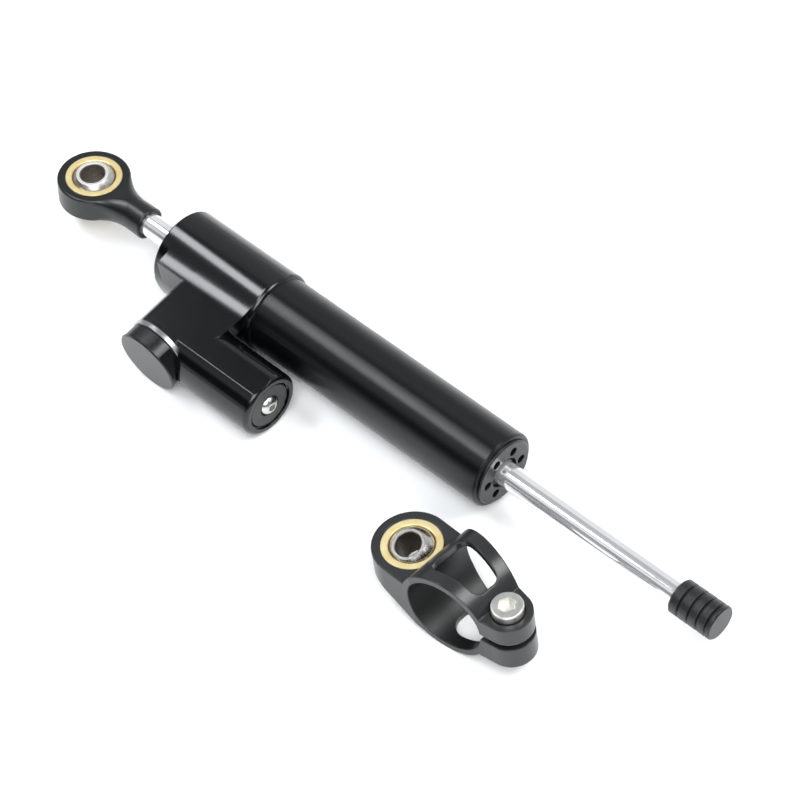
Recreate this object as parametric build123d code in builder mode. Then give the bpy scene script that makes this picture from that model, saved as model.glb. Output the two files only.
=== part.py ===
from build123d import *
import os
from math import sin, cos, acos, radians, sqrt, atan2, degrees

os.makedirs("parts", exist_ok=True)

# ---------------------------------------------------------------------------
# Linear steering damper with its clamp bracket. Millimetres, +Z up.
# Origin: centre of the ball in the rod end. +X runs along the damper's axis
# from the rod end towards the stop knob. The parts lie on z = -13.7.
# ---------------------------------------------------------------------------

# ---- driving dimensions: rod, piston, tube -------------------------------
rod_r = 4.0                 # 8 mm rod, through both ends
spigot_r = 3.0              # turned-down ends that screw into eye and knob
rod_x0, rod_x1 = 26.0, 247.0
run = 0.03                  # radial running clearance
fit = 0.02                  # radial clearance of loose-fitting details

tube_r = 12.7               # 25.4 mm outer tube
tube_ri = 11.1
tube_x0, tube_x1 = 83.9, 177.9
thread_r = 12.0             # spigot of the tube inside the head
thread_x0 = 72.0
liner_ri, liner_ro = 9.0, 10.5
liner_x0, liner_x1 = 57.0, 166.0

piston_x0, piston_x1 = 133.6, 144.4
piston_r = liner_ri - 0.05

# ---- head, boss, web and reservoir barrel ---------------------------------
head_r = 13.7
head_x0, head_x1 = 41.5, 83.9
wing_deg = 6.0              # the boss leans down towards -Y
wing_o = (64.4, 0.15, 1.7)
boss_r, boss_len = 11.2, 32.3
flat_deg = 6.5              # milled flat over boss, web and barrel
flat_y, flat_z = -31.42, 7.04
cove_r = 16.0               # concave run-up from the flat to the head
rib_x0 = 45.4               # rib that carries the cove on to the left of the boss
root_a, root_m, root_b = (-13.567, -1.907), (-12.45, -7.6), (-11.0, -12.0)
web_x1 = 82.1
web_t = 5.2
res_y, res_z = -26.4, -2.6  # reservoir axis, parallel to X
res_r, res_ri = 10.87, 8.35
res_x0, res_x1 = 64.4, 105.9
res_floor = 80.0
knob_pocket_r = 12.0
cap_face_r, cap_face_x = 7.75, 105.45       # raised face of the reservoir cap
bleed_r, bleed_x0, bleed_x1 = 3.35, 104.65, 106.75

# ---- adjuster --------------------------------------------------------------
sleeve_r = 7.0
ring_r, ring_a0, ring_a1 = 11.5, 32.3, 34.0
knob_r, knob_a1 = 11.3, 39.8
spindle_r = 3.0
needle_r = 2.0

# ---- rod end and ball joints ----------------------------------------------
ball_r, ball_w, ball_bore_r = 7.9375, 12.0, 4.0
race_r, race_w = 9.33, 9.0
eye_r, eye_w = 12.0, 9.0
neck_r = 5.35
eye_roll = -5.0             # eye housing rolled about the rod

# ---- clamp bracket ----------------------------------------------------------
ring_c = (201.5, -40.7, 1.6)        # centre of the clamp ring
clamp_yaw, clamp_pitch = -3.0, 4.0
clamp_L = 23.3                      # eye centre to ring centre
clamp_bore_r, clamp_out_r = 13.0, 15.2
clamp_w, clamp_lug_r = 12.15, 7.5
clamp_eye_r, clamp_eye_h = 12.15, 4.6
clamp_race_r = 9.5
screw_off = 17.0                    # ring centre to clamp screw
lug_top, lug_bot = 7.4, -9.7
slit_top, slit_bot = 0.9, -1.7
screw_seat = 5.6                    # floor of the counterbore
ball_tilt = 14.0

# ---- helper planes -----------------------------------------------------------
su, cu = sin(radians(wing_deg)), cos(radians(wing_deg))
U = Vector(0, -cu, -su)             # along the boss, outwards
Wn = Vector(0, -su, cu)             # up from the boss axis
wing_plane = Plane(origin=wing_o, x_dir=(U.X, U.Y, U.Z), z_dir=(Wn.X, Wn.Y, Wn.Z))
wing_axis = Axis(wing_o, (U.X, U.Y, U.Z))


def wing(a, dx, h):
    """Point at distance a along the boss, dx along X, h above its axis."""
    return Vector(*wing_o) + U * a + Vector(dx, 0, 0) + Wn * h


def across_wing(a):
    """Plane square to the boss axis at distance a, local y up."""
    return Plane(origin=wing(a, 0, 0), x_dir=(1, 0, 0), z_dir=(U.X, U.Y, U.Z))


res_plane = Plane(origin=(0, res_y, res_z), x_dir=(1, 0, 0), z_dir=(0, -1, 0))
res_axis = Axis((0, res_y, res_z), (1, 0, 0))


def at_x(x, y=0.0, z=0.0):
    """Plane facing +X, local x along +Y and local y along +Z."""
    return Plane(origin=(x, y, z), x_dir=(0, 1, 0), z_dir=(1, 0, 0))


def block(x0, x1, r0, r1):
    """Rectangle of a turned profile, from x0 to x1 and radius r0 to r1."""
    with Locations(((x0 + x1) / 2, (r0 + r1) / 2)):
        Rectangle(abs(x1 - x0), abs(r1 - r0))


def save(part, name):
    part.part.label = name
    export_step(part.part, "parts/%s.step" % name)


# ===========================================================================
# Damper head: cylinder, boss, web and reservoir barrel from one billet
# ===========================================================================
tf = radians(flat_deg)
nf = (-sin(tf), cos(tf))                       # normal of the flat in (y, z)
dist = nf[0] * flat_y + nf[1] * flat_z
cn = dist + cove_r
ct = -sqrt((head_r + cove_r) ** 2 - cn ** 2)
cove_c = (cn * nf[0] + ct * cos(tf), cn * nf[1] + ct * sin(tf))
k = head_r / (head_r + cove_r)
p_head = (cove_c[0] * k, cove_c[1] * k)
p_flat = (cove_c[0] - cove_r * nf[0], cove_c[1] - cove_r * nf[1])
mid_n = (-p_head[0] - p_flat[0] + 2 * cove_c[0], -p_head[1] - p_flat[1] + 2 * cove_c[1])
mid_l = sqrt(mid_n[0] ** 2 + mid_n[1] ** 2)
p_mid = (cove_c[0] - cove_r * mid_n[0] / mid_l, cove_c[1] - cove_r * mid_n[1] / mid_l)
flat_end = (-46.0, flat_z + (-46.0 - flat_y) * sin(tf) / cos(tf))
# the rib's flank touches the head where a tangent from the cove's foot does
foot_r = sqrt(p_flat[0] ** 2 + p_flat[1] ** 2)
foot_a = atan2(-p_flat[0], p_flat[1]) + acos(head_r / foot_r)
p_tan = (-head_r * sin(foot_a), head_r * cos(foot_a))

# everything under the milled top surface
with BuildPart() as envelope:
    with BuildSketch(at_x(40)):
        with BuildLine():
            ThreePointArc(p_head, p_mid, p_flat)
            Polyline(p_flat, flat_end, (-46, -20), (0, -20), (0, 0), p_head)
        make_face()
    extrude(amount=72)

with BuildPart() as damper_head:
    # boss
    with BuildSketch(wing_plane):
        block(0, boss_len, 0, boss_r)
    revolve(axis=wing_axis)
    # root of the boss: a flank tangent to the head runs down beside the boss
    with BuildSketch(at_x(head_x0)):
        with BuildLine():
            ThreePointArc(root_a, root_m, root_b)
            Polyline(root_b, (-4, root_b[1]), (-2, -1), root_a)
        make_face()
    extrude(amount=62.0 - head_x0)
    # reservoir barrel with a rounded end
    with BuildSketch(res_plane):
        with BuildLine():
            Polyline((res_x0, 0), (res_x0, res_r), (res_x1 - 1.8, res_r))
            ThreePointArc((res_x1 - 1.8, res_r), (res_x1 - 0.5, res_r - 0.42), (res_x1, 9.6))
            Polyline((res_x1, 9.6), (res_x1, 0), (res_x0, 0))
        make_face()
    revolve(axis=res_axis)
    # web between head and barrel
    with BuildSketch(Plane.XY.offset(2.0)):
        Polygon((64.4, -4), (web_x1 + 0.1, -4), (web_x1, -12), (web_x1 - 0.8, -22.4),
                (web_x1 - 2.0, -24), (64.4, -26), align=None)
    extrude(amount=12)
    add(envelope.part, mode=Mode.INTERSECT)
    # rib beside the boss: cove on top, flank tangent to the head
    with BuildSketch(at_x(rib_x0)):
        with BuildLine():
            ThreePointArc(p_head, p_mid, p_flat)
            Polyline(p_flat, p_tan, (0, -2), (0, 0), p_head)
        make_face()
    extrude(amount=64.4 - rib_x0)
    # underside of the web
    with BuildSketch(Plane(origin=(0, flat_y, flat_z - web_t), x_dir=(1, 0, 0), z_dir=(0, nf[0], nf[1]))):
        with Locations((80.0, 12.0)):
            Rectangle(8.0, 14.0)
    extrude(amount=-8, mode=Mode.SUBTRACT)
    # barrel again, whole under its flat
    with BuildSketch(at_x(76.0, res_y, res_z)):
        Circle(res_r)
    extrude(amount=4, mode=Mode.ADD)
    with BuildSketch(Plane(origin=(0, flat_y, flat_z), x_dir=(1, 0, 0), z_dir=(0, nf[0], nf[1]))):
        with Locations((78.0, 5.0)):
            Rectangle(8.0, 20.0)
    extrude(amount=6, mode=Mode.SUBTRACT)
    # head cylinder
    with BuildSketch(Plane.XZ):
        with BuildLine():
            Polyline((head_x0, 0), (head_x0, head_r - 0.5), (head_x0 + 0.5, head_r), (head_x1 - 1.8, head_r))
            ThreePointArc((head_x1 - 1.8, head_r), (head_x1 - 0.55, head_r - 0.28), (head_x1, tube_r + 0.05))
            Polyline((head_x1, tube_r + 0.05), (head_x1, 0), (head_x0, 0))
        make_face()
    revolve(axis=Axis.X)
    # bores for wiper, seal, guide bush, liner, oil passage and tube
    with BuildSketch(Plane.XZ):
        block(head_x0 - 1, 57.5, 0, rod_r + 0.3)
        block(head_x0 - 1, 44.5, 0, 6.0)
        block(46.0, 50.0, 0, 6.2)
        block(50.0, 57.5, 0, 6.0)
        block(57.0, 60.5, 0, liner_ro)
        block(60.5, thread_x0 + 0.1, 0, tube_ri)
        block(thread_x0, head_x1 + 1, 0, thread_r)
    revolve(axis=Axis.X, mode=Mode.SUBTRACT)
    # valve bore in the boss
    with BuildSketch(wing_plane):
        block(9.0, 12.2, 0, 1.5)
        block(12.0, 16.2, 0, 3.0)
        block(16.0, 22.2, 0, 4.5)
        block(22.0, boss_len + 1, 0, sleeve_r)
    revolve(axis=wing_axis, mode=Mode.SUBTRACT)
    # reservoir bore and its snap-ring groove
    with BuildSketch(res_plane):
        block(res_floor, res_x1 + 1, 0, res_ri)
        block(104.4, 105.3, 0, res_ri + 0.6)
    revolve(axis=res_axis, mode=Mode.SUBTRACT)
    # clearance for the knob beside the barrel
    with BuildSketch(across_wing(boss_len)):
        Circle(knob_pocket_r)
    extrude(amount=12, mode=Mode.SUBTRACT)
    # oil port from the valve to the front chamber
    p1, p2 = wing(8.6, -5.6, -1.7), wing(18.0, -4.6, -0.5)
    with BuildSketch(Plane(origin=p1, z_dir=p2 - p1)):
        Circle(1.2)
    extrude(amount=(p2 - p1).length, mode=Mode.SUBTRACT)
    # oil port from the valve to the reservoir
    p3, p4 = wing(19.0, 3.0, -1.0), wing(24.0, 17.0, -1.5)
    with BuildSketch(Plane(origin=p3, z_dir=p4 - p3)):
        Circle(1.0)
    extrude(amount=(p4 - p3).length, mode=Mode.SUBTRACT)
save(damper_head, "damper_head")

# ===========================================================================
# Tube, liner, guides and seals
# ===========================================================================
with BuildPart() as damper_tube:
    with BuildSketch(Plane.XZ):
        with BuildLine():
            Polyline((thread_x0, tube_ri), (thread_x0, thread_r), (tube_x0, thread_r), (tube_x0, tube_r),
                     (tube_x1 - 0.6, tube_r), (tube_x1, tube_r - 0.6), (tube_x1, tube_ri), (thread_x0, tube_ri))
        make_face()
    revolve(axis=Axis.X)
save(damper_tube, "damper_tube")

with BuildPart() as cylinder_liner:
    with BuildSketch(Plane.XZ):
        block(liner_x0, liner_x1, liner_ri, liner_ro)
    revolve(axis=Axis.X)
    # ring of oil holes at the far end
    with BuildSketch(Plane.XY):
        with Locations((156.5, 0)):
            Circle(1.25)
    extrude(amount=14, both=True, mode=Mode.SUBTRACT)
    with BuildSketch(Plane.XZ):
        with Locations((156.5, 0)):
            Circle(1.25)
    extrude(amount=14, both=True, mode=Mode.SUBTRACT)
    # port to the front chamber
    with BuildSketch(Plane(origin=wing(7.0, -5.77, -1.9), z_dir=p2 - p1)):
        Circle(1.2)
    extrude(amount=6, mode=Mode.SUBTRACT)
save(cylinder_liner, "cylinder_liner")

with BuildPart() as front_guide_bush:
    with BuildSketch(Plane.XZ):
        block(50.6, 57.0, rod_r + run, 6.0)
    revolve(axis=Axis.X)
save(front_guide_bush, "front_guide_bush")

with BuildPart() as front_rod_seal:
    with BuildSketch(Plane.XZ):
        with BuildLine():
            Polyline((46.1, rod_r + run), (50.0, rod_r + run), (50.0, 4.7), (48.6, 5.1), (50.0, 5.5),
                     (50.0, 6.18), (46.1, 6.18), (46.1, rod_r + run))
        make_face()
    revolve(axis=Axis.X)
save(front_rod_seal, "front_rod_seal")

with BuildPart() as front_wiper:
    with BuildSketch(Plane.XZ):
        with BuildLine():
            Polyline((41.2, rod_r + run), (44.5, rod_r + run), (44.5, 5.98), (42.2, 5.98), (42.2, 5.0),
                     (41.2, 4.5), (41.2, rod_r + run))
        make_face()
    revolve(axis=Axis.X)
save(front_wiper, "front_wiper")

with BuildPart() as end_cap:
    with BuildSketch(Plane.XZ):
        with BuildLine():
            Polyline((160.0, 5.5), (160.0, 8.98), (166.0, 8.98), (166.0, tube_ri - fit), (168.4, tube_ri - fit),
                     (168.4, 9.9), (170.6, 9.9), (170.6, tube_ri - fit), (178.5, tube_ri - fit),
                     (178.9, tube_ri - 0.4), (178.9, 5.2), (175.6, 5.2), (175.6, 4.4), (174.4, 4.4),
                     (174.4, 6.4), (170.4, 6.4), (170.4, 5.5), (160.0, 5.5))
        make_face()
    revolve(axis=Axis.X)
    # six holes for a pin spanner
    with BuildSketch(at_x(178.9)):
        with PolarLocations(7.4, 6, start_angle=-5):
            Circle(1.5)
    extrude(amount=-3.2, mode=Mode.SUBTRACT)
save(end_cap, "end_cap")

with BuildPart() as rear_guide_bush:
    with BuildSketch(Plane.XZ):
        block(160.0, 170.3, rod_r + run, 5.5)
    revolve(axis=Axis.X)
save(rear_guide_bush, "rear_guide_bush")

with BuildPart() as rear_rod_seal:
    with BuildSketch(Plane.XZ):
        with BuildLine():
            Polyline((170.4, rod_r + run), (174.3, rod_r + run), (174.3, 6.38), (170.4, 6.38),
                     (170.4, 5.7), (171.8, 5.3), (170.4, 4.8), (170.4, rod_r + run))
        make_face()
    revolve(axis=Axis.X)
save(rear_rod_seal, "rear_rod_seal")

with BuildPart() as rear_wiper:
    with BuildSketch(Plane.XZ):
        with BuildLine():
            Polyline((175.6, rod_r + run), (178.2, rod_r + run), (178.2, 4.4), (177.6, 4.8), (177.6, 5.18),
                     (175.6, 5.18), (175.6, rod_r + run))
        make_face()
    revolve(axis=Axis.X)
save(rear_wiper, "rear_wiper")

with BuildPart() as end_cap_o_ring:
    with BuildSketch(Plane.XZ):
        with Locations((169.5, 10.45)):
            Circle(0.55)
    revolve(axis=Axis.X)
save(end_cap_o_ring, "end_cap_o_ring")

# ===========================================================================
# Reservoir
# ===========================================================================
with BuildPart() as floating_piston:
    with BuildSketch(res_plane):
        with BuildLine():
            Polyline((84.0, 0), (84.0, 7.9), (84.4, res_ri - 0.05), (86.0, res_ri - 0.05), (86.0, 7.0),
                     (88.0, 7.0), (88.0, res_ri - 0.05), (90.6, res_ri - 0.05), (91.0, 7.9), (91.0, 6.6),
                     (87.2, 6.6), (87.2, 0), (84.0, 0))
        make_face()
    revolve(axis=res_axis)
save(floating_piston, "floating_piston")

with BuildPart() as floating_piston_o_ring:
    with BuildSketch(res_plane):
        with Locations((87.0, 7.66)):
            Circle(0.64)
    revolve(axis=res_axis)
save(floating_piston_o_ring, "floating_piston_o_ring")

spring_r, spring_wire = 5.6, 0.5
with BuildPart() as reservoir_spring:
    with BuildLine() as coil:
        Helix(pitch=2.7, height=10.6, radius=spring_r, center=(87.9, res_y, res_z), direction=(1, 0, 0))
    with BuildSketch(Plane(origin=coil.line @ 0, z_dir=coil.line % 0)):
        Circle(spring_wire)
    sweep(path=coil.line, is_frenet=True)
save(reservoir_spring, "reservoir_spring")

with BuildPart() as reservoir_cap:
    with BuildSketch(res_plane):
        with BuildLine():
            Polyline((99.4, 0), (99.4, 7.9), (99.8, 8.3), (100.6, 8.3), (100.6, 7.2), (102.4, 7.2), (102.4, 8.3),
                     (104.05, 8.3), (104.3, 8.05), (104.3, cap_face_r), (cap_face_x - 0.25, cap_face_r),
                     (cap_face_x, cap_face_r - 0.25), (cap_face_x, bleed_r + 0.35), (bleed_x0, bleed_r + 0.35),
                     (bleed_x0, 1.52), (99.9, 1.52), (99.9, 0), (99.4, 0))
        make_face()
    revolve(axis=res_axis)
save(reservoir_cap, "reservoir_cap")

with BuildPart() as reservoir_cap_o_ring:
    with BuildSketch(res_plane):
        with Locations((101.5, 7.76)):
            Circle(0.56)
    revolve(axis=res_axis)
save(reservoir_cap_o_ring, "reservoir_cap_o_ring")

with BuildPart() as reservoir_snap_ring:
    with BuildSketch(Plane(origin=(0, res_y, res_z), x_dir=(1, 0, 0), z_dir=(0, 0, 1))):
        with Locations((104.85, 8.42)):
            Circle(0.36)
    revolve(axis=res_axis, revolution_arc=318)
save(reservoir_snap_ring, "reservoir_snap_ring")

with BuildPart() as bleed_screw:
    with BuildSketch(res_plane):
        with BuildLine():
            Polyline((100.2, 0), (100.2, 1.2), (100.5, 1.5), (bleed_x0, 1.5), (bleed_x0, bleed_r),
                     (bleed_x0 + 0.5, bleed_r))
            ThreePointArc((bleed_x0 + 0.5, bleed_r), (bleed_x0 + 1.6, bleed_r - 0.75), (bleed_x1, 1.75))
            Polyline((bleed_x1, 1.75), (bleed_x1, 0), (100.2, 0))
        make_face()
    revolve(axis=res_axis)
    with BuildSketch(at_x(bleed_x1, res_y, res_z)):
        RegularPolygon(radius=1.25, side_count=6, major_radius=False, rotation=12)
    extrude(amount=-1.5, mode=Mode.SUBTRACT)
save(bleed_screw, "bleed_screw")

# ===========================================================================
# Adjuster: bushing with its bright ring, spindle, knob, needle, seat, detent
# ===========================================================================
with BuildPart() as adjuster_bushing:
    with BuildSketch(wing_plane):
        with BuildLine():
            Polyline((22.6, spindle_r + run), (22.6, sleeve_r - 0.4), (23.0, sleeve_r), (25.0, sleeve_r),
                     (25.0, sleeve_r - 1.3), (26.8, sleeve_r - 1.3), (26.8, sleeve_r), (ring_a0, sleeve_r),
                     (ring_a0, ring_r - 0.15), (ring_a0 + 0.15, ring_r), (ring_a1 - 0.15, ring_r),
                     (ring_a1, ring_r - 0.15), (ring_a1, spindle_r + run), (22.6, spindle_r + run))
        make_face()
    revolve(axis=wing_axis)
    # blind pocket of the click detent
    with BuildSketch(across_wing(ring_a1)):
        with Locations((0, 5.2)):
            Circle(1.05)
    extrude(amount=-6.0, mode=Mode.SUBTRACT)
save(adjuster_bushing, "adjuster_bushing")

with BuildPart() as bushing_o_ring:
    with BuildSketch(wing_plane):
        with Locations((25.9, sleeve_r - 0.66)):
            Circle(0.64)
    revolve(axis=wing_axis)
save(bushing_o_ring, "bushing_o_ring")

with BuildPart() as detent_spring:
    with BuildLine() as dcoil:
        Helix(pitch=0.95, height=3.6, radius=0.72, center=tuple(wing(28.4, 0, 5.2)), direction=tuple(U))
    with BuildSketch(Plane(origin=dcoil.line @ 0, z_dir=dcoil.line % 0)):
        Circle(0.2)
    sweep(path=dcoil.line, is_frenet=True)
save(detent_spring, "detent_spring")

with BuildPart() as detent_ball:
    with Locations(wing(33.42, 0, 5.2)):
        Sphere(0.98)
save(detent_ball, "detent_ball")

with BuildPart() as valve_seat:
    with BuildSketch(wing_plane):
        block(12.2, 16.0, 1.2, 3.0)
    revolve(axis=wing_axis)
save(valve_seat, "valve_seat")

with BuildPart() as metering_needle:
    with BuildSketch(wing_plane):
        with BuildLine():
            Polyline((15.2, 0), (15.2, 0.3), (18.6, needle_r), (28.0, needle_r), (28.0, 0), (15.2, 0))
        make_face()
    revolve(axis=wing_axis)
    # two flats that key it in the spindle
    with BuildSketch(across_wing(28.5)):
        with Locations((0, 2.0), (0, -2.0)):
            Rectangle(6, 1.0)
    extrude(amount=-9.2, mode=Mode.SUBTRACT)
save(metering_needle, "metering_needle")

with BuildPart() as adjuster_spindle:
    with BuildSketch(wing_plane):
        with BuildLine():
            Polyline((20.6, 0), (20.6, 4.0), (22.55, 4.0), (22.55, spindle_r), (38.2, spindle_r),
                     (38.5, spindle_r - 0.3), (38.5, 0), (20.6, 0))
        make_face()
    revolve(axis=wing_axis)
    # keyed bore for the needle
    with BuildSketch(across_wing(20.6)) as keyed:
        Circle(needle_r + run)
        with Locations((0, 2.03), (0, -2.03)):
            Rectangle(6, 1.0, mode=Mode.SUBTRACT)
    extrude(amount=8.6, mode=Mode.SUBTRACT)
save(adjuster_spindle, "adjuster_spindle")

with BuildPart() as adjuster_knob:
    with BuildSketch(wing_plane):
        with BuildLine():
            Polyline((ring_a1 + 0.05, spindle_r), (ring_a1 + 0.05, 3.9), (34.45, 3.9), (34.45, 6.5),
                     (ring_a1 + 0.05, 6.5), (ring_a1 + 0.05, knob_r - 0.3), (ring_a1 + 0.35, knob_r),
                     (knob_a1 - 0.45, knob_r), (knob_a1, knob_r - 0.45), (knob_a1, 0), (38.5, 0),
                     (38.5, spindle_r), (ring_a1 + 0.05, spindle_r))
        make_face()
    revolve(axis=wing_axis)
    # six shallow grip scallops that stop short of the face
    with BuildSketch(across_wing(ring_a1)):
        with PolarLocations(41.1, 6, start_angle=31):
            Circle(30.55)
    extrude(amount=5.25, mode=Mode.SUBTRACT)
    # click dimples under the knob
    with Locations(Location(across_wing(34.1))):
        with PolarLocations(5.2, 20, start_angle=90):
            Sphere(0.95, mode=Mode.SUBTRACT)
    # radial hole of the grub screw
    with BuildSketch(Plane(origin=wing(36.9, 0, -2.9), x_dir=(1, 0, 0), z_dir=(-Wn.X, -Wn.Y, -Wn.Z))):
        Circle(1.25)
    extrude(amount=10, mode=Mode.SUBTRACT)
save(adjuster_knob, "adjuster_knob")

with BuildPart() as knob_grub_screw:
    with BuildSketch(Plane(origin=wing(36.9, 0, -3.02), x_dir=(1, 0, 0), z_dir=(-Wn.X, -Wn.Y, -Wn.Z))):
        Circle(1.23)
    extrude(amount=5.0)
    with BuildSketch(Plane(origin=wing(36.9, 0, -8.02), x_dir=(1, 0, 0), z_dir=(-Wn.X, -Wn.Y, -Wn.Z))):
        RegularPolygon(radius=0.65, side_count=6, major_radius=False)
    extrude(amount=-1.5, mode=Mode.SUBTRACT)
save(knob_grub_screw, "knob_grub_screw")

# ===========================================================================
# Rod, piston and stop knob
# ===========================================================================
ring_groove = 0.4
with BuildPart() as piston_rod:
    with BuildSketch(Plane.XZ):
        with BuildLine():
            Polyline((14.0, 0), (14.0, spigot_r), (rod_x0, spigot_r), (rod_x0, rod_r),
                     (131.98, rod_r), (131.98, rod_r - ring_groove), (133.02, rod_r - ring_groove), (133.02, rod_r),
                     (144.98, rod_r), (144.98, rod_r - ring_groove), (146.02, rod_r - ring_groove), (146.02, rod_r),
                     (rod_x1, rod_r), (rod_x1, spigot_r), (256.0, spigot_r), (256.0, 0), (14.0, 0))
        make_face()
    revolve(axis=Axis.X)
save(piston_rod, "piston_rod")

with BuildPart() as piston:
    with BuildSketch(Plane.XZ):
        with BuildLine():
            Polyline((piston_x0, rod_r + fit), (piston_x0, piston_r - 0.4), (piston_x0 + 0.4, piston_r),
                     (137.4, piston_r), (137.4, 7.9), (140.6, 7.9), (140.6, piston_r),
                     (piston_x1 - 0.4, piston_r), (piston_x1, piston_r - 0.4), (piston_x1, rod_r + fit),
                     (piston_x0, rod_r + fit))
        make_face()
    revolve(axis=Axis.X)
    with BuildSketch(at_x(piston_x0 - 1)):
        with PolarLocations(6.1, 6):
            Circle(0.9)
    extrude(amount=14, mode=Mode.SUBTRACT)
save(piston, "piston")

with BuildPart() as piston_ring:
    with BuildSketch(Plane.XZ):
        block(137.45, 140.55, 7.92, liner_ri - 0.02)
    revolve(axis=Axis.X)
save(piston_ring, "piston_ring")

with BuildPart() as piston_valve_shims:
    with BuildSketch(Plane.XZ):
        block(133.05, piston_x0, rod_r + fit, 7.4)
        block(piston_x1, 144.95, rod_r + fit, 7.4)
    revolve(axis=Axis.X)
save(piston_valve_shims, "piston_valve_shims")

with BuildPart() as piston_retaining_rings:
    with BuildSketch(Plane.XZ):
        block(132.02, 132.98, rod_r - ring_groove + fit, 5.6)
        block(145.02, 145.98, rod_r - ring_groove + fit, 5.6)
    revolve(axis=Axis.X)
save(piston_retaining_rings, "piston_retaining_rings")

kr = 5.7
with BuildPart() as stop_knob:
    with BuildSketch(Plane.XZ):
        with BuildLine():
            pts = [(247.0, spigot_r + fit), (247.0, kr - 0.5), (247.5, kr)]
            for g in (250.5, 254.2, 257.5, 260.7):
                pts += [(g - 0.45, kr), (g, kr - 0.75), (g + 0.45, kr)]
            pts += [(262.1, kr), (262.5, kr - 0.4), (262.5, 0), (256.3, 0), (256.3, spigot_r + fit),
                    (247.0, spigot_r + fit)]
            Polyline(*pts)
        make_face()
    revolve(axis=Axis.X)
save(stop_knob, "stop_knob")

# ===========================================================================
# Rod end
# ===========================================================================
eye_plane = Plane(origin=(0, 0, 0), x_dir=(1, 0, 0),
                  z_dir=(0, -sin(radians(eye_roll)), cos(radians(eye_roll))))
eye_axis = Axis((0, 0, 0), (0, -sin(radians(eye_roll)), cos(radians(eye_roll))))
neck_sections = (           # x, half width, half height, corner radius
    (7.0, 9.70, 4.49, 0.9), (9.0, 8.25, 4.55, 1.7), (11.0, 7.05, 4.72, 2.8), (13.2, 6.15, 5.0, 3.9),
    (15.6, 5.62, 5.28, 4.9), (18.0, neck_r + 0.02, neck_r + 0.01, neck_r - 0.05))
with BuildPart() as rod_end_housing:
    with BuildSketch(eye_plane):
        Circle(eye_r)
    extrude(amount=eye_w / 2, both=True)
    fillet(edges().filter_by(GeomType.CIRCLE), radius=0.8)
    # the eye flows into a round neck
    with BuildPart(mode=Mode.PRIVATE) as flow:
        for (fx, fw, fh, fr) in neck_sections:
            with BuildSketch(Plane(origin=(fx, 0, 0), x_dir=(0, cos(radians(eye_roll)), sin(radians(eye_roll))),
                                   z_dir=(1, 0, 0))):
                RectangleRounded(2 * fw, 2 * fh, fr)
        loft()
    add(flow.part)
    with BuildSketch(Plane.XZ):
        with BuildLine():
            Polyline((14.0, 0), (14.0, 4.6), (17.2, neck_r - 0.1), (18.0, neck_r), (25.5, neck_r + 0.12),
                     (26.0, neck_r - 0.35), (26.0, 0), (14.0, 0))
        make_face()
    revolve(axis=Axis.X)
    with BuildSketch(eye_plane):
        Circle(race_r)
    extrude(amount=8, both=True, mode=Mode.SUBTRACT)
    with BuildSketch(at_x(13.5)):
        Circle(spigot_r + fit)
    extrude(amount=13, mode=Mode.SUBTRACT)
save(rod_end_housing, "rod_end_housing")


seat_r = ball_r + run              # spherical seat of the races
seat_z = race_w / 2 - 0.55
seat_rz = sqrt(seat_r ** 2 - seat_z ** 2)


def race_points(r_out, half):
    """Outline of a race's section from one end of its spherical seat to the other."""
    return [(seat_rz, -seat_z), (seat_rz + 0.45, -half), (r_out - 0.15, -half), (r_out, -half + 0.15),
            (r_out, half - 0.15), (r_out - 0.15, half), (seat_rz + 0.45, half), (seat_rz, seat_z)]


with BuildPart() as rod_end_race:
    with BuildSketch(Plane(origin=(0, 0, 0), x_dir=(1, 0, 0),
                           z_dir=(0, -cos(radians(eye_roll)), -sin(radians(eye_roll))))):
        with BuildLine():
            Polyline(*race_points(race_r, race_w / 2))
            ThreePointArc((seat_rz, seat_z), (seat_r, 0), (seat_rz, -seat_z))
        make_face()
    revolve(axis=eye_axis)
save(rod_end_race, "rod_end_race")

flat_r = sqrt(ball_r ** 2 - (ball_w / 2) ** 2)
bh = ball_w / 2
ball_pts = [(flat_r, -bh), (ball_bore_r + 0.3, -bh), (ball_bore_r, -bh + 0.3), (ball_bore_r, bh - 0.3),
            (ball_bore_r + 0.3, bh), (flat_r, bh)]
with BuildPart() as rod_end_ball:
    with BuildSketch(Plane.XZ):
        with BuildLine():
            Polyline(*ball_pts)
            ThreePointArc((flat_r, bh), (ball_r, 0), (flat_r, -bh))
        make_face()
    revolve(axis=Axis.Z)
save(rod_end_ball, "rod_end_ball")

# ===========================================================================
# Clamp bracket: eye with a ball joint and a split ring
# ===========================================================================
cy, sy = cos(radians(clamp_yaw)), sin(radians(clamp_yaw))
cp, sp = cos(radians(clamp_pitch)), sin(radians(clamp_pitch))
EX = Vector(cp * cy, cp * sy, sp)
EY = Vector(-sy, cy, 0)
EZ = EX.cross(EY)
RC = Vector(*ring_c)
E0 = RC - EX * clamp_L


def cpt(x, y, z):
    """Point of the clamp's own frame: x towards the screw, z along the eye's axis."""
    return E0 + EX * x + EY * y + EZ * z


def cplane(z):
    """Plane square to the eye's axis at height z."""
    return Plane(origin=cpt(0, 0, z), x_dir=EX, z_dir=EZ)


def cside(y):
    """Plane along the bracket, local x towards the screw and local y up."""
    return Plane(origin=cpt(0, y, 0), x_dir=EX, z_dir=EY * -1)


screw_x = clamp_L + screw_off
taper = (clamp_w - clamp_lug_r) / (screw_x - 12.0)


def half_w(x):
    return clamp_w if x < 12 else clamp_w - (x - 12) * taper


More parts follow.
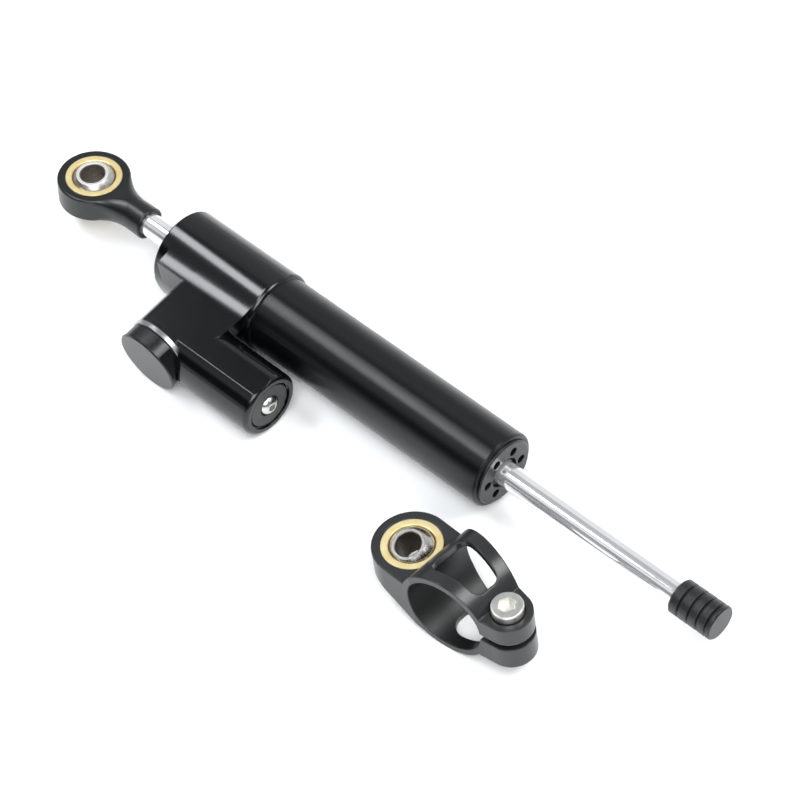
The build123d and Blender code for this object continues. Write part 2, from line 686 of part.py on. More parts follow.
# straight flank under the bracket, from the eye's lower face to the ring
px, pz = -3.0, -clamp_eye_h
dx, dz = clamp_L - px, -pz
dd = sqrt(dx * dx + dz * dz)
ang = atan2(dz, dx)
tang = ang - degrees(0) - atan2(clamp_out_r, sqrt(dd * dd - clamp_out_r ** 2))
tl = sqrt(dd * dd - clamp_out_r ** 2)
tan_pt = (px + tl * cos(tang), pz + tl * sin(tang))

with BuildPart() as clamp_bracket:
    # ring, lugs and lower flank seen from the side
    with BuildSketch(cside(0)):
        with Locations((clamp_L, 0)):
            Circle(clamp_out_r)
        Polygon((clamp_L, lug_bot), (screw_x + 9, lug_bot), (screw_x + 9, lug_top), (clamp_L, lug_top), align=None)
        Polygon((px, pz), tan_pt, (clamp_L, 0), (px, 0), align=None)
    extrude(amount=16, both=True)
    # trimmed to the plan outline
    with BuildSketch(cplane(-25)):
        with BuildLine():
            Polyline((screw_x + 1.2, -clamp_lug_r + 0.1), (12, -clamp_w), (0, -clamp_w), (0, clamp_w), (12, clamp_w),
                     (screw_x + 1.2, clamp_lug_r - 0.1))
            Line((screw_x + 1.2, clamp_lug_r - 0.1), (screw_x + 1.2, -clamp_lug_r + 0.1))
        make_face()
        with Locations((screw_x, 0)):
            Circle(clamp_lug_r)
        Circle(clamp_eye_r)
    extrude(amount=50, mode=Mode.INTERSECT)
    # eye
    with BuildSketch(cplane(-clamp_eye_h)):
        Circle(clamp_eye_r)
    extrude(amount=2 * clamp_eye_h)
    with BuildSketch(cplane(-clamp_eye_h)):
        Polygon((0, -clamp_w), (12, -clamp_w), (12, clamp_w), (0, clamp_w), align=None)
    extrude(amount=2 * clamp_eye_h)
    # ring bore
    with BuildSketch(cside(0)):
        with Locations((clamp_L, 0)):
            Circle(clamp_bore_r)
    extrude(amount=20, both=True, mode=Mode.SUBTRACT)
    # seat of the race, and room above and below it
    with BuildSketch(cplane(-20)):
        Circle(clamp_race_r)
    extrude(amount=40, mode=Mode.SUBTRACT)
    with BuildSketch(cplane(clamp_eye_h)):
        Circle(clamp_race_r + 0.45)
    extrude(amount=8, mode=Mode.SUBTRACT)
    # upper window
    with BuildSketch(cplane(0)):
        Polygon((15.2, -half_w(15.2) + 4.3), (33.0, -half_w(33.0) + 4.1), (33.0, half_w(33.0) - 4.1),
                (15.2, half_w(15.2) - 4.3), align=None)
        fillet(vertices(), radius=3.0)
    extrude(amount=20, mode=Mode.SUBTRACT)
    # lower window, shorter, with a round end
    with BuildSketch(cplane(0)):
        Polygon((19.2, -6.6), (33.0, -half_w(33.0) + 4.1), (33.0, half_w(33.0) - 4.1), (19.2, 6.6), align=None)
        fillet(vertices().sort_by(Axis((0, 0, 0), (EX.X, EX.Y, EX.Z)))[0:2], radius=5.0)
    extrude(amount=-20, mode=Mode.SUBTRACT)
    # slit between the lugs
    with BuildSketch(cside(0)):
        Polygon((clamp_L + 8, slit_bot), (screw_x + 10, slit_bot), (screw_x + 10, slit_top), (clamp_L + 8, slit_top),
                align=None)
    extrude(amount=16, both=True, mode=Mode.SUBTRACT)
    # counterbored screw hole
    with BuildSketch(Plane(origin=cpt(screw_x, 0, screw_seat), x_dir=EX, z_dir=EZ)):
        Circle(5.25)
    extrude(amount=8, mode=Mode.SUBTRACT)
    with BuildSketch(Plane(origin=cpt(screw_x, 0, slit_top - 0.5), x_dir=EX, z_dir=EZ)):
        Circle(3.3)
    extrude(amount=8, mode=Mode.SUBTRACT)
    with BuildSketch(Plane(origin=cpt(screw_x, 0, lug_bot - 1), x_dir=EX, z_dir=EZ)):
        Circle(3.0)
    extrude(amount=9.5, mode=Mode.SUBTRACT)
save(clamp_bracket, "clamp_bracket")

with BuildPart() as clamp_race:
    with BuildSketch(cside(0)):
        with BuildLine():
            Polyline(*race_points(clamp_race_r, 4.5))
            ThreePointArc((seat_rz, seat_z), (seat_r, 0), (seat_rz, -seat_z))
        make_face()
    revolve(axis=Axis(cpt(0, 0, 0), EZ))
save(clamp_race, "clamp_race")

tb = radians(ball_tilt)
BZ = EY * (-sin(tb)) + EZ * cos(tb)
with BuildPart() as clamp_ball:
    with BuildSketch(Plane(origin=cpt(0, 0, 0), x_dir=EX, z_dir=EX.cross(BZ))):
        with BuildLine():
            Polyline(*ball_pts)
            ThreePointArc((flat_r, bh), (ball_r, 0), (flat_r, -bh))
        make_face()
    revolve(axis=Axis(cpt(0, 0, 0), BZ))
save(clamp_ball, "clamp_ball")

with BuildPart() as clamp_screw:
    with BuildSketch(Plane(origin=cpt(screw_x, 0, screw_seat), x_dir=EX, z_dir=EZ)):
        Circle(4.95)
    extrude(amount=10.3 - screw_seat)
    fillet(edges().filter_by(GeomType.CIRCLE).sort_by(Axis(cpt(screw_x, 0, 0), EZ))[-1], radius=0.5)
    with BuildSketch(Plane(origin=cpt(screw_x, 0, -9.3), x_dir=EX, z_dir=EZ)):
        Circle(3.0)
    extrude(amount=screw_seat + 9.3)
    with BuildSketch(Plane(origin=cpt(screw_x, 0, 10.3), x_dir=EX, z_dir=EZ)):
        RegularPolygon(radius=2.5, side_count=6, major_radius=False, rotation=8)
    extrude(amount=-3.0, mode=Mode.SUBTRACT)
save(clamp_screw, "clamp_screw")
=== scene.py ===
import bpy
import math
from mathutils import Matrix, Vector

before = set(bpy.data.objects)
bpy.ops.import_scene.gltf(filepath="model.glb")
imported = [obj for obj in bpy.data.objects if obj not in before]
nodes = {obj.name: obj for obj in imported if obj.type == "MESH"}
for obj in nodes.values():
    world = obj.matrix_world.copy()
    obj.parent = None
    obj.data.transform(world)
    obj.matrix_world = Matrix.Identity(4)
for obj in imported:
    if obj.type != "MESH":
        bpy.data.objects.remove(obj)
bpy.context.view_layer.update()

# ---------------------------------------------------------------------------
# Shared dimensions, in metres, as the solids have them
# ---------------------------------------------------------------------------
FLOOR_Z = -0.0137
SU, CU = math.sin(math.radians(6.0)), math.cos(math.radians(6.0))
BOSS_DIR = Vector((0, -CU, -SU))                 # along the adjuster boss
BOSS_O = Vector((0.0644, 0.00015, 0.0017))
RES_Y, RES_Z = -0.0264, -0.0026                  # reservoir axis
CY, SY = math.cos(math.radians(-3.0)), math.sin(math.radians(-3.0))
CP, SP = math.cos(math.radians(4.0)), math.sin(math.radians(4.0))
EX = Vector((CP * CY, CP * SY, SP))              # clamp bracket, towards its screw
EY = Vector((-SY, CY, 0.0))
EZ = EX.cross(EY)
RING_C = Vector((0.2015, -0.0407, 0.0016))
EYE_C = RING_C - EX * 0.0233                     # centre of the bracket's ball
SCREW_C = EYE_C + EX * 0.0403


def basis(origin, x, z):
    """Matrix from the row frame to a local frame with those x and z directions."""
    z = Vector(z).normalized()
    x = Vector(x) - z * Vector(x).dot(z)
    x.normalize()
    y = z.cross(x)
    m = Matrix((x, y, z)).to_4x4()
    return m @ Matrix.Translation(-Vector(origin))


# ---------------------------------------------------------------------------
# Small helpers for node materials
# ---------------------------------------------------------------------------
class Mat:
    """A node material with a Principled shader; its coordinates are metres in a chosen frame."""

    def __init__(self, name, color, metallic=0.0, roughness=0.4, ior=1.5, **sockets):
        self.m = bpy.data.materials.new(name)
        self.m.use_nodes = True
        self.t = self.m.node_tree
        self.t.nodes.clear()
        self.out = self.t.nodes.new("ShaderNodeOutputMaterial")
        self.b = self.t.nodes.new("ShaderNodeBsdfPrincipled")
        self.t.links.new(self.b.outputs[0], self.out.inputs[0])
        self.b.inputs["Base Color"].default_value = (*color, 1)
        self.b.inputs["Metallic"].default_value = metallic
        self.b.inputs["Roughness"].default_value = roughness
        self.b.inputs["IOR"].default_value = ior
        for k, v in sockets.items():
            self.b.inputs[k.replace("_", " ")].default_value = v
        self.tc = self.t.nodes.new("ShaderNodeTexCoord")
        self.color, self.rough = color, roughness
        self.normal = None

    def put(self, sock, value):
        if isinstance(value, (int, float)):
            sock.default_value = value
        elif isinstance(value, (tuple, list, Vector)):
            sock.default_value = tuple(value)
        elif value is not None:
            self.t.links.new(value, sock)

    def local(self, m=None):
        """Object coordinates taken through a rigid matrix."""
        src = self.tc.outputs["Object"]
        if m is None:
            return src
        loc, rot, _ = m.decompose()
        n = self.t.nodes.new("ShaderNodeMapping")
        n.vector_type = "POINT"
        n.inputs["Location"].default_value = loc
        n.inputs["Rotation"].default_value = rot.to_euler("XYZ")
        self.t.links.new(src, n.inputs["Vector"])
        return n.outputs[0]

    def scaled(self, vec, s):
        n = self.t.nodes.new("ShaderNodeVectorMath")
        n.operation = "MULTIPLY"
        self.t.links.new(vec, n.inputs[0])
        n.inputs[1].default_value = s
        return n.outputs[0]

    def split(self, vec):
        n = self.t.nodes.new("ShaderNodeSeparateXYZ")
        self.t.links.new(vec, n.inputs[0])
        return n.outputs

    def join(self, x, y, z):
        n = self.t.nodes.new("ShaderNodeCombineXYZ")
        for s, v in zip(n.inputs, (x, y, z)):
            self.put(s, v)
        return n.outputs[0]

    def math(self, op, a, b=0.0, c=None, clamp=False):
        n = self.t.nodes.new("ShaderNodeMath")
        n.operation = op
        n.use_clamp = clamp
        self.put(n.inputs[0], a)
        self.put(n.inputs[1], b)
        if c is not None:
            self.put(n.inputs[2], c)
        return n.outputs[0]

    def noise(self, vec, scale=1.0, detail=3.0, rough=0.55, distortion=0.0):
        n = self.t.nodes.new("ShaderNodeTexNoise")
        self.put(n.inputs["Vector"], vec)
        n.inputs["Scale"].default_value = scale
        n.inputs["Detail"].default_value = detail
        n.inputs["Roughness"].default_value = rough
        n.inputs["Distortion"].default_value = distortion
        return n.outputs["Fac"]

    def voronoi(self, vec, scale=1.0, feature="F1"):
        n = self.t.nodes.new("ShaderNodeTexVoronoi")
        n.feature = feature
        self.put(n.inputs["Vector"], vec)
        n.inputs["Scale"].default_value = scale
        return n.outputs["Distance"]

    def ramp(self, fac, lo, hi, a=0.0, b=1.0, smooth=True):
        n = self.t.nodes.new("ShaderNodeMapRange")
        n.interpolation_type = "SMOOTHSTEP" if smooth else "LINEAR"
        self.put(n.inputs["Value"], fac)
        for k, v in (("From Min", lo), ("From Max", hi), ("To Min", a), ("To Max", b)):
            self.put(n.inputs[k], v)
        return n.outputs[0]

    def mix(self, fac, a, b):
        """Colour mix; a and b are colours or sockets."""
        n = self.t.nodes.new("ShaderNodeMix")
        n.data_type = "RGBA"
        self.put(n.inputs["Factor"], fac)
        for i, v in ((6, a), (7, b)):
            if isinstance(v, (tuple, list)):
                n.inputs[i].default_value = (*v, 1) if len(v) == 3 else v
            else:
                self.t.links.new(v, n.inputs[i])
        return n.outputs[2]

    def set(self, name, value):
        self.put(self.b.inputs[name], value)

    def bevel(self, radius, samples=6):
        n = self.t.nodes.new("ShaderNodeBevel")
        n.samples = samples
        n.inputs["Radius"].default_value = radius
        self.normal = n.outputs[0]

    def bump(self, height, distance, strength=1.0):
        n = self.t.nodes.new("ShaderNodeBump")
        n.inputs["Strength"].default_value = strength
        n.inputs["Distance"].default_value = distance
        self.t.links.new(height, n.inputs["Height"])
        if self.normal is not None:
            self.t.links.new(self.normal, n.inputs["Normal"])
        self.normal = n.outputs[0]

    def done(self):
        if self.normal is not None:
            self.t.links.new(self.normal, self.b.inputs["Normal"])
        return self.m


def grey(v):
    return (v, v, v)


def mottle(mt, scale, a, b, vec=None, detail=4.0):
    """Base colour that drifts between two colours in soft clouds."""
    vec = mt.local() if vec is None else vec
    n = mt.noise(vec, scale, detail, 0.6)
    c = mt.mix(mt.ramp(n, 0.3, 0.7), a, b)
    mt.set("Base Color", c)
    return c


def micro(mt, amp=0.06, scale=9000.0, base=None):
    """Roughness with a fine grain and slow handling marks."""
    v = mt.local()
    fine = mt.noise(v, scale, 2.0, 0.6)
    slow = mt.noise(v, 55.0, 4.0, 0.6, 0.8)
    s = mt.math("ADD", mt.math("MULTIPLY", fine, amp), mt.math("MULTIPLY", slow, amp * 1.6))
    r = mt.math("ADD", s, (mt.rough if base is None else base) - amp * 1.3)
    mt.set("Roughness", r)
    return r


def turned_x(mt, pitch, depth, axis_y=0.0, axis_z=0.0):
    """Lathe lines round an axis parallel to X: the height changes along x and hardly round it."""
    v = mt.scaled(mt.local(), (1.0 / pitch, 60.0, 60.0))
    h = mt.noise(v, 1.0, 2.5, 0.6)
    mt.bump(h, depth)
    return h


def radial(mt, m, pitch, depth=None):
    """Rings round the local z axis of matrix m: a turned face. Returns their height."""
    x, y, z = mt.split(mt.local(m))
    r = mt.math("SQRT", mt.math("ADD", mt.math("MULTIPLY", x, x), mt.math("MULTIPLY", y, y)))
    h = mt.noise(mt.join(mt.math("MULTIPLY", r, 1.0 / pitch), 0.0, mt.math("MULTIPLY", z, 0.6 / pitch)), 1.0, 2.0, 0.6)
    if depth is not None:
        mt.bump(h, depth)
    return h, r, z


# ---------------------------------------------------------------------------
# Finishes
# ---------------------------------------------------------------------------
def black_anodise(name, rough, tint=(0.0013, 0.0016, 0.0021), tint2=(0.0020, 0.0024, 0.0030), bevel=0.00028, amp=0.05):
    mt = Mat(name, tint, roughness=rough, ior=1.52)
    mottle(mt, 38.0, tint, tint2)
    mt.bevel(bevel)
    micro(mt, amp)
    return mt


# head, boss, web and reservoir barrel: milled and tumbled, long soft strokes
m_head = black_anodise("anodised_head", 0.145, bevel=0.0004, amp=0.03)
hv = m_head.scaled(m_head.local(), (45.0, 1500.0, 1500.0))
m_head.bump(m_head.noise(hv, 1.0, 3.0, 0.6), 0.0000035)
m_head.bump(m_head.noise(m_head.local(), 2600.0, 2.0, 0.5), 0.0000016)

# tube: turned, a little duller
m_tube = black_anodise("anodised_tube", 0.30, bevel=0.00025, amp=0.04)
m_tube.b.inputs["Anisotropic"].default_value = 0.8
m_tube.b.inputs["Anisotropic Rotation"].default_value = 0.25
m_tube.b.inputs["Specular IOR Level"].default_value = 0.38
tt = m_tube.t.nodes.new("ShaderNodeTangent")
tt.direction_type = "RADIAL"
tt.axis = "X"
m_tube.t.links.new(tt.outputs[0], m_tube.b.inputs["Tangent"])
turned_x(m_tube, 0.00035, 0.000004)
tv = m_tube.scaled(m_tube.local(), (30.0, 900.0, 900.0))
m_tube.bump(m_tube.noise(tv, 1.0, 2.0, 0.6), 0.000004)

# rod end housing: forged and anodised, smooth
m_eye = black_anodise("anodised_rod_end", 0.31, bevel=0.0005, amp=0.04)
m_eye.bump(m_eye.noise(m_eye.local(), 1800.0, 3.0, 0.6), 0.000004)

# clamp bracket: satin, with cutter marks in the bore and windows; inside the bore the colour is painted near black as
# painted shade
m_clamp = black_anodise("anodised_clamp", 0.30, (0.0110, 0.0114, 0.0124), (0.0155, 0.0160, 0.0172), bevel=0.0007)
bx, by, bz = m_clamp.split(m_clamp.local(basis(RING_C, EX, EY)))
br = m_clamp.math("SQRT", m_clamp.math("ADD", m_clamp.math("MULTIPLY", bx, bx), m_clamp.math("MULTIPLY", by, by)))
# painted shade: this mask takes the base colour inside the bore down to near black and also makes the bore rougher
shaded_bore_mask = m_clamp.ramp(br, 0.01305, 0.0136, 1.0, 0.0)
cl_noise = m_clamp.ramp(m_clamp.noise(m_clamp.local(), 38.0, 4.0, 0.6), 0.3, 0.7)
cl_out = m_clamp.mix(cl_noise, (0.0110, 0.0114, 0.0124), (0.0155, 0.0160, 0.0172))
m_clamp.set("Base Color", m_clamp.mix(shaded_bore_mask, cl_out, (0.0035, 0.0036, 0.0040)))
cl_rough = m_clamp.math("ADD", m_clamp.math("MULTIPLY", m_clamp.noise(m_clamp.local(), 9000.0, 2.0, 0.6), 0.05),
                        m_clamp.math("MULTIPLY", shaded_bore_mask, 0.14))
m_clamp.set("Roughness", m_clamp.math("ADD", cl_rough, 0.26))
cm = basis(EYE_C, EX, EZ)
cx, cyy, cz = m_clamp.split(m_clamp.local(cm))
marks = m_clamp.noise(m_clamp.join(m_clamp.math("MULTIPLY", cx, 60.0), m_clamp.math("MULTIPLY", cyy, 2300.0),
                                   m_clamp.math("MULTIPLY", cz, 60.0)), 1.0, 2.0, 0.6)
m_clamp.bump(marks, 0.000012)
m_clamp.bump(m_clamp.noise(m_clamp.local(), 2200.0, 3.0, 0.6), 0.000005)

# adjuster knob: spun face
m_knob = black_anodise("anodised_knob", 0.26, (0.0030, 0.0032, 0.0037), (0.0048, 0.0050, 0.0055), bevel=0.0004)
radial(m_knob, basis(BOSS_O, (1, 0, 0), BOSS_DIR), 0.00022, 0.000004)

# stop knob: black with a faint diagonal knurl between its grooves
m_stop = black_anodise("anodised_stop_knob", 0.32, (0.0040, 0.0042, 0.0046), (0.0060, 0.0062, 0.0068), bevel=0.0003)
sx, sy_, sz_ = m_stop.split(m_stop.local())
ang = m_stop.math("ARCTAN2", sz_, sy_)
k1 = m_stop.math("SINE", m_stop.math("ADD", m_stop.math("MULTIPLY", ang, 44.0), m_stop.math("MULTIPLY", sx, 7700.0)))
k2 = m_stop.math("SINE", m_stop.math("SUBTRACT", m_stop.math("MULTIPLY", ang, 44.0), m_stop.math("MULTIPLY", sx, 7700.0)))
kn = m_stop.math("MULTIPLY", m_stop.math("MAXIMUM", k1, k2),
                 m_stop.math("LESS_THAN", sx, 0.2620))
m_stop.bump(kn, 0.00005, 0.6)
st_face = m_stop.ramp(sx, 0.2738, 0.2742)
st_noise = m_stop.ramp(m_stop.noise(m_stop.local(), 38.0, 4.0, 0.6), 0.3, 0.7)
st_black = m_stop.mix(st_noise, (0.0036, 0.0038, 0.0042), (0.0052, 0.0054, 0.0060))
m_stop.set("Base Color", m_stop.mix(st_face, st_black, (0.33, 0.335, 0.34)))

# end cap and reservoir cap: dyed dark grey, turned faces
m_cap = Mat("anodised_grey_cap", (0.016, 0.0165, 0.0175), roughness=0.33, ior=1.55)
mottle(m_cap, 90.0, (0.0030, 0.0034, 0.0040), (0.0050, 0.0054, 0.0062))
m_cap.bevel(0.0003)
micro(m_cap, 0.06)
cvx, cvy, cvz = m_cap.split(m_cap.local())
rr = m_cap.math("SQRT", m_cap.math("ADD", m_cap.math("MULTIPLY", cvy, cvy), m_cap.math("MULTIPLY", cvz, cvz)))
m_cap.bump(m_cap.noise(m_cap.join(m_cap.math("MULTIPLY", rr, 4200.0), 0.0, 0.0), 1.0, 2.0, 0.6), 0.000005)

m_rescap = Mat("anodised_grey_reservoir_cap", (0.010, 0.0105, 0.0115), roughness=0.33, ior=1.55)
mottle(m_rescap, 90.0, (0.0030, 0.0033, 0.0038), (0.0050, 0.0054, 0.0060))
m_rescap.bevel(0.0003)
micro(m_rescap, 0.06)
radial(m_rescap, basis((0, RES_Y, RES_Z), (0, 1, 0), (1, 0, 0)), 0.00024, 0.000005)

# hard chrome rod: mirror with hair-fine polishing marks
m_chrome = Mat("hard_chrome", (0.90, 0.905, 0.92), metallic=0.78, roughness=0.09)
mottle(m_chrome, 60.0, (0.88, 0.885, 0.90), (0.94, 0.945, 0.955))
chv = m_chrome.scaled(m_chrome.local(), (3500.0, 40.0, 40.0))
m_chrome.bevel(0.0002)
m_chrome.bump(m_chrome.noise(chv, 1.0, 2.0, 0.6), 0.0000012)
cr = m_chrome.ramp(m_chrome.noise(m_chrome.local(), 700.0, 4.0, 0.6), 0.3, 0.8, 0.06, 0.14)
m_chrome.set("Roughness", cr)


def ball_material(name, centre, tilt_axis, seed, face, bore_shade_level, lo, hi, duller):
    """Bearing steel: polished with handling scratches; the bore is duller, and its colour is painted much darker as
    painted shade in the recess.
    """
    mt = Mat(name, (0.62, 0.61, 0.60), metallic=1.0, roughness=0.14)
    m = basis(centre, (1, 0, 0), tilt_axis)
    x, y, z = mt.split(mt.local(m))
    r = mt.math("SQRT", mt.math("ADD", mt.math("MULTIPLY", x, x), mt.math("MULTIPLY", y, y)))
    bore = mt.ramp(r, 0.00408, 0.0044, 1.0, 0.0)
    v = mt.local(m)
    scr = mt.noise(mt.scaled(v, (420.0, 2600.0, 900.0)), 1.0, 3.0, 0.7, 0.6)
    blot = mt.noise(v, 420.0 + seed, 4.0, 0.6, 0.5)
    steel = mt.mix(mt.ramp(blot, 0.35, 0.7), lo, hi)
    # painted shade: inside the bore the steel colour is mixed much darker, as shade in the recess
    dark = mt.mix(mt.ramp(scr, 0.3, 0.7), tuple(bore_shade_level * c for c in (0.075, 0.066, 0.058)),
                  tuple(bore_shade_level * c for c in (0.15, 0.13, 0.115)))
    end = mt.math("MULTIPLY", mt.ramp(mt.math("ABSOLUTE", z), 0.00588, 0.00598),
                  mt.math("SUBTRACT", 1.0, bore))                     # flat ends, turned and duller
    steel = mt.mix(end, steel, face)
    mt.set("Base Color", mt.mix(bore, steel, dark))
    ro = mt.ramp(scr, 0.35, 0.75, 0.17 + duller, 0.34 + duller)
    ro = mt.math("ADD", ro, mt.math("MULTIPLY", end, 0.10))
    mt.set("Roughness", mt.math("ADD", ro, mt.math("MULTIPLY", bore, 0.22)))
    mt.bevel(0.0002)
    mt.bump(scr, 0.0000022, 0.6)
    return mt.done()


EYE_AXIS = (0, math.sin(math.radians(5.0)), math.cos(math.radians(5.0)))
TB = math.radians(14.0)
BALL_AXIS = EY * -math.sin(TB) + EZ * math.cos(TB)
m_ball_a = ball_material("bearing_steel_rod_end", (0, 0, 0), (0, 0, 1), 0.0, (0.84, 0.81, 0.79), 2.2,
                        (0.40, 0.385, 0.37), (0.56, 0.54, 0.52), 0.12)
# painted shade: the clamp ball's flat faces get a dark colour (0.17) so the strip softbox's reflection on them comes
# out dim
m_ball_b = ball_material("bearing_steel_clamp", EYE_C, BALL_AXIS, 37.0, (0.17, 0.165, 0.16), 1.6,
                        (0.34, 0.325, 0.31), (0.50, 0.485, 0.47), 0.02)


def race_material(name, centre, axis, seat, outer, lo, hi):
    """Yellow brass race: turned faces, a painted shadow line at the seat's lip where the ball meets it, and darker
    towards the outer rim.
    """
    mt = Mat(name, (0.80, 0.56, 0.22), metallic=0.78, roughness=0.3)
    m = basis(centre, (1, 0, 0), axis)
    h, r, z = radial(mt, m, 0.00016)
    blot = mt.noise(mt.local(m), 260.0, 4.0, 0.6, 0.4)
    c = mt.mix(mt.ramp(blot, 0.25, 0.8), lo, hi)
    # painted shadow: a dark band at the seat's lip, where the race meets the ball
    seat_shadow = mt.ramp(r, seat + 0.0001, seat + 0.00055, 1.0, 0.0)
    c = mt.mix(seat_shadow, c, (0.22, 0.13, 0.045))
    # darker towards the outer rim
    rim = mt.ramp(r, outer - 0.0004, outer - 0.00005)
    c = mt.mix(mt.math("MULTIPLY", rim, 0.55), c, (0.30, 0.19, 0.07))
    mt.set("Base Color", c)
    mt.set("Roughness", mt.ramp(blot, 0.3, 0.8, 0.27, 0.38))
    mt.bevel(0.00018)
    mt.bump(h, 0.000004)
    return mt.done()


m_race_a = race_material("brass_rod_end_race", (0, 0, 0), EYE_AXIS, 0.0068, 0.00933,
                         (0.94, 0.73, 0.35), (1.0, 0.85, 0.47))
m_race_b = race_material("brass_clamp_race", EYE_C, EZ, 0.0068, 0.0095,
                         (0.95, 0.76, 0.37), (1.0, 0.87, 0.50))

# bright turned ring of the adjuster bushing
m_ring = Mat("bright_turned_aluminium", (0.56, 0.57, 0.58), metallic=1.0, roughness=0.30)
mottle(m_ring, 150.0, (0.42, 0.43, 0.44), (0.50, 0.51, 0.52))
m_ring.bevel(0.00015)
micro(m_ring, 0.08)
radial(m_ring, basis(BOSS_O, (1, 0, 0), BOSS_DIR), 0.0003, 0.000003)


def stainless(name, color=(0.60, 0.59, 0.57), rough=0.24):
    mt = Mat(name, color, metallic=1.0, roughness=rough)
    mottle(mt, 300.0, tuple(c * 0.88 for c in color), tuple(min(1, c * 1.08) for c in color))
    mt.bevel(0.0002)
    micro(mt, 0.09)
    mt.bump(mt.noise(mt.local(), 3000.0, 3.0, 0.6), 0.0000015)
    return mt


m_stainless = stainless("stainless_steel")
m_screw = stainless("stainless_cap_screw", (0.70, 0.69, 0.655), 0.34)
m_steel = stainless("spring_steel", (0.36, 0.355, 0.35), 0.28)
m_snap = stainless("snap_ring_steel", (0.12, 0.12, 0.12), 0.3)
m_bronze = stainless("sintered_bronze", (0.42, 0.25, 0.12), 0.4)
m_darksteel = stainless("valve_steel", (0.30, 0.30, 0.31), 0.25)
m_rubber = Mat("seal_rubber", (0.012, 0.012, 0.012), roughness=0.6, ior=1.5)
mottle(m_rubber, 300.0, (0.010, 0.010, 0.010), (0.017, 0.017, 0.017))
micro(m_rubber, 0.08)
m_rubber.bump(m_rubber.noise(m_rubber.local(), 2500.0, 3.0, 0.6), 0.00001)
m_ptfe = Mat("ptfe", (0.10, 0.085, 0.06), roughness=0.5)
mottle(m_ptfe, 200.0, (0.085, 0.07, 0.05), (0.12, 0.10, 0.075))
micro(m_ptfe, 0.05)

MATERIALS = {
    "damper_head": m_head.done(),
    "damper_tube": m_tube.done(),
    "rod_end_housing": m_eye.done(),
    "clamp_bracket": m_clamp.done(),
    "adjuster_knob": m_knob.done(),
    "stop_knob": m_stop.done(),
    "end_cap": m_cap.done(),
    "reservoir_cap": m_rescap.done(),
    "piston_rod": m_chrome.done(),
    "rod_end_ball": m_ball_a,
    "clamp_ball": m_ball_b,
    "rod_end_race": m_race_a,
    "clamp_race": m_race_b,
    "adjuster_bushing": m_ring.done(),
    "reservoir_snap_ring": m_snap.done(),
}
ms, mst, mbz, mds = m_stainless.done(), m_steel.done(), m_bronze.done(), m_darksteel.done()
mrb, mpt = m_rubber.done(), m_ptfe.done()
for n in ("bleed_screw", "clamp_screw", "knob_grub_screw", "adjuster_spindle", "metering_needle"):
    MATERIALS[n] = ms
for n in ("detent_spring", "detent_ball", "reservoir_spring", "piston_retaining_rings", "piston_valve_shims"):
    MATERIALS[n] = mst
for n in ("front_guide_bush", "rear_guide_bush", "floating_piston", "piston"):
    MATERIALS[n] = mbz
for n in ("cylinder_liner", "valve_seat"):
    MATERIALS[n] = mds
for n in ("front_wiper", "front_rod_seal", "rear_wiper", "rear_rod_seal", "end_cap_o_ring", "floating_piston_o_ring",
          "reservoir_cap_o_ring", "bushing_o_ring"):
    MATERIALS[n] = mrb
MATERIALS["piston_ring"] = mpt
MATERIALS["clamp_screw"] = m_screw.done()

for name, o in nodes.items():
    mat = MATERIALS.get(name, ms)
    if o.data.materials:
        for i in range(len(o.data.materials)):
            o.data.materials[i] = mat
    else:
        o.data.materials.append(mat)


# ---------------------------------------------------------------------------
# Floor
# ---------------------------------------------------------------------------
fm = bpy.data.meshes.new("floor")
S = 6.0
fm.from_pydata([(-S, -S, FLOOR_Z), (S, -S, FLOOR_Z), (S, S, FLOOR_Z), (-S, S, FLOOR_Z)], [], [(0, 1, 2, 3)])
floor = bpy.data.objects.new("floor", fm)
bpy.context.scene.collection.objects.link(floor)
m_floor = Mat("studio_floor", (0.93, 0.93, 0.93), roughness=0.6, ior=1.3)
fl_n = m_floor.ramp(m_floor.noise(m_floor.local(), 6.0, 4.0, 0.6), 0.3, 0.7)
fl_c = m_floor.mix(fl_n, (0.915, 0.925, 0.930), (0.935, 0.945, 0.950))
fl_y = m_floor.split(m_floor.local())[1]
# painted shade: further out in front (−Y) the floor colour darkens to grey, standing in for dimmer light there
m_floor.set("Base Color", m_floor.mix(m_floor.ramp(fl_y, -0.75, -0.22, 1.0, 0.0), fl_c, (0.36, 0.37, 0.38)))
micro(m_floor, 0.05, 3000.0)
fm.materials.append(m_floor.done())

# ---------------------------------------------------------------------------
# Light: a pale surround, darker towards the front, and a long strip softbox
# ---------------------------------------------------------------------------
world = bpy.data.worlds.new("studio")
bpy.context.scene.world = world
world.use_nodes = True
wt = world.node_tree
wt.nodes.clear()
wo = wt.nodes.new("ShaderNodeOutputWorld")
bg = wt.nodes.new("ShaderNodeBackground")
wt.links.new(bg.outputs[0], wo.inputs[0])
wc = wt.nodes.new("ShaderNodeTexCoord")
ws = wt.nodes.new("ShaderNodeSeparateXYZ")
wt.links.new(wc.outputs["Generated"], ws.inputs[0])


def wmath(op, a, b=0.0, clamp=False):
    n = wt.nodes.new("ShaderNodeMath")
    n.operation = op
    n.use_clamp = clamp
    for s, v in ((n.inputs[0], a), (n.inputs[1], b)):
        if isinstance(v, (int, float)):
            s.default_value = v
        else:
            wt.links.new(v, s)
    return n.outputs[0]


def wramp(v, lo, hi, a, b):
    n = wt.nodes.new("ShaderNodeMapRange")
    n.interpolation_type = "SMOOTHSTEP"
    wt.links.new(v, n.inputs["Value"])
    for k, q in (("From Min", lo), ("From Max", hi), ("To Min", a), ("To Max", b)):
        n.inputs[k].default_value = q
    return n.outputs[0]


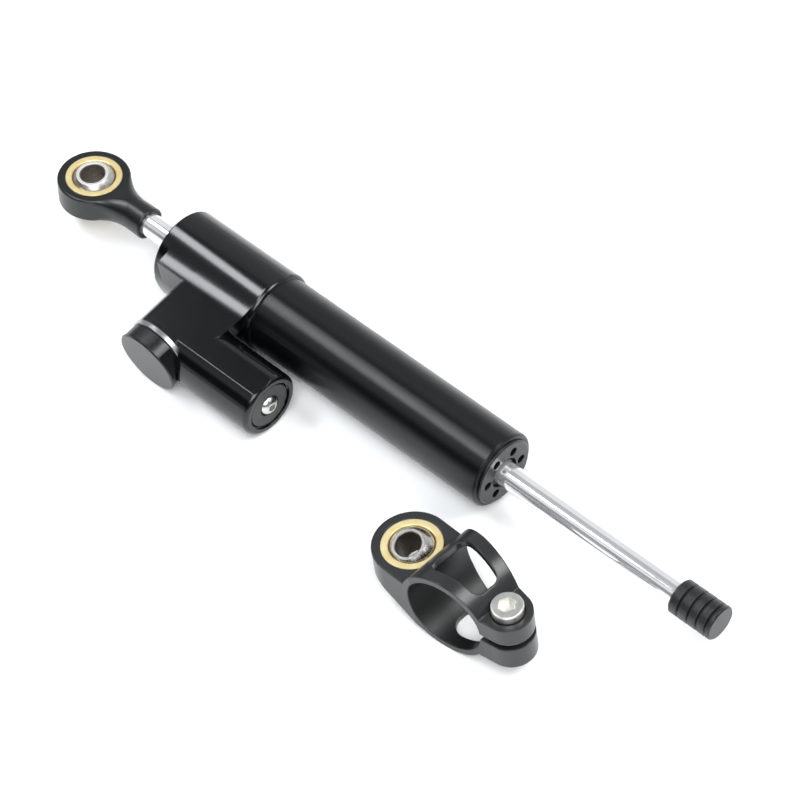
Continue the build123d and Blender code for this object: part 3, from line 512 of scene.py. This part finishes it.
wy, wz = ws.outputs[1], ws.outputs[2]
rear = wmath("ADD", wramp(wy, 0.18, 0.36, 0.17, 0.60), wramp(wy, 0.80, 0.95, 0.0, 0.65))   # pale behind (+Y), dim overhead
gap = wmath("MULTIPLY", wramp(wz, 0.06, 0.20, 0.0, 1.0), wramp(wz, 0.46, 0.62, 1.0, 0.0))
gap = wmath("MULTIPLY", gap, wramp(wy, -0.75, -0.35, 1.0, 0.0))
front = wramp(wy, -0.75, -0.45, 0.75, 0.34)               # a pale wall in front with a dark gap across it
front = wmath("MULTIPLY", front, wramp(wy, -0.30, 0.10, 1.0, 0.5))
side = wmath("MAXIMUM", rear, wmath("MULTIPLY", front, wmath("SUBTRACT", 1.0, wmath("MULTIPLY", gap, 0.75))))
side = wmath("SUBTRACT", side, wmath("MULTIPLY", gap, 0.16))
low = wramp(wz, -0.06, 0.02, 1.0, 0.0)                    # under the horizon, as pale as the floor
val = wmath("ADD", wmath("MULTIPLY", side, wmath("SUBTRACT", 1.0, low)), low)
bg.inputs["Color"].default_value = (0.965, 1.0, 1.025, 1)
wt.links.new(val, bg.inputs["Strength"])


def area(name, loc, target, sx, sy, power, roll=0.0, spread=180.0):
    d = bpy.data.lights.new(name, "AREA")
    d.shape = "RECTANGLE"
    d.size, d.size_y = sx, sy
    d.energy = power
    d.spread = math.radians(spread)
    o = bpy.data.objects.new(name, d)
    bpy.context.scene.collection.objects.link(o)
    z = (Vector(loc) - Vector(target)).normalized()
    q = z.to_track_quat("Z", "Y").to_matrix().to_4x4()
    o.matrix_world = Matrix.Translation(Vector(loc)) @ q @ Matrix.Rotation(math.radians(roll), 4, "Z")
    return o


# strip softbox: level, its long side running front to back as the camera looks
strip = bpy.data.lights.new("strip_softbox", "AREA")
strip.shape = "RECTANGLE"
strip.size, strip.size_y = 0.15, 0.52
strip.energy = 2.9
strip.color = (0.94, 0.98, 1.0)
so = bpy.data.objects.new("strip_softbox", strip)
bpy.context.scene.collection.objects.link(so)
lx, ly = Vector((0.75, 0.66, 0)).normalized(), Vector((-0.66, 0.75, 0)).normalized()
so.matrix_world = Matrix.Translation((-0.255, -0.142, 0.62)) @ Matrix((lx, ly, Vector((0, 0, 1)))).transposed().to_4x4()

# small softbox high on the right, and a broad fill behind the camera
area("side_softbox", (0.60, 0.36, 0.84), (0.14, -0.01, 0), 0.45, 0.45, 5.5)
area("front_fill", (0.70, -0.57, 1.03), (0.12, -0.02, 0), 0.9, 0.9, 15.0)

# ---------------------------------------------------------------------------
# Camera
# ---------------------------------------------------------------------------
cam_data = bpy.data.cameras.new("camera")
cam_data.sensor_width = 36.0
cam_data.lens = 144.0
cam_data.clip_start, cam_data.clip_end = 0.05, 30.0
cam = bpy.data.objects.new("camera", cam_data)
bpy.context.scene.collection.objects.link(cam)
R = Vector((0.72935199, 0.68153529, -0.05962661))
Uc = Vector((-0.51094635, 0.60059926, 0.61499135))
B = Vector((0.45495, -0.41807916, 0.78627623))
rot = Matrix((R, Uc, B)).transposed()
cam.matrix_world = Matrix.Translation((0.58112725, -0.40911098, 0.76907826)) @ rot.to_4x4()
bpy.context.scene.camera = cam

bpy.context.scene.view_settings.view_transform = "Standard"
bpy.context.scene.view_settings.look = "None"
bpy.context.scene.view_settings.exposure = 0.0
